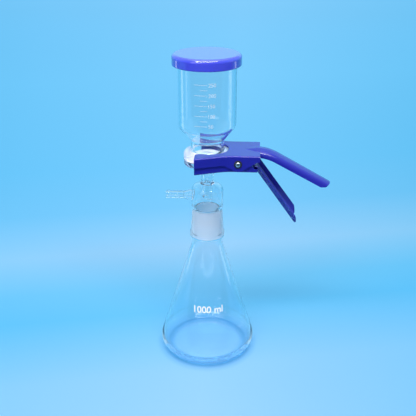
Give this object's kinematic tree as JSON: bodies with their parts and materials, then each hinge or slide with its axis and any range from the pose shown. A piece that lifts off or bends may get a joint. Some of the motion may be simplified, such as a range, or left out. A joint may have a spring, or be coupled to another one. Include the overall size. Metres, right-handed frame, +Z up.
{
  "type": "vacuum filtration unit",
  "caption": "Glass vacuum filtration unit: conical flask, filter head with hose barb and fritted disc, graduated funnel with lid, and a sprung two-jaw clamp.",
  "frame": {"origin": "centre of the flask's flat base, on the surface that it stands on", "axes": "+Z up along the axis of the glassware, +X towards the clamp's handles, -X towards the hose barb, graduated side of the funnel towards -Y"},
  "size_m": [0.2291, 0.134, 0.4277],
  "materials": {
    "clear_glass": "clear borosilicate glass",
    "sintered_glass": "white sintered glass, fine grain",
    "cap_plastic": "glossy moulded plastic",
    "clamp_paint": "glossy blue paint on pressed steel sheet",
    "rivet_steel": "bright steel",
    "washer_black": "black fibre washer",
    "spring_steel": "drawn spring wire"
  },
  "bodies": {
    "glassware": {"flask": "clear_glass", "filter_head": "clear_glass", "fritted_disc": "sintered_glass", "funnel": "clear_glass", "funnel_cap": "cap_plastic", "upper_jaw": "clamp_paint", "pivot_pin": "rivet_steel", "washer_front": "washer_black", "washer_rear": "washer_black", "torsion_spring": "spring_steel"},
    "lower_jaw": {"lower_jaw": "clamp_paint"}
  },
  "joints": [
    {"name": "jaw_open", "type": "hinge", "parent": "glassware", "child": "lower_jaw", "pos_m": [0.0411, 0, 0.2932], "axis": [0, -1, 0], "range_deg": [0, 22], "stiffness_Nm_per_rad": 0.8, "springref_deg": -45.84, "deforming": ["torsion_spring"]}
  ]
}
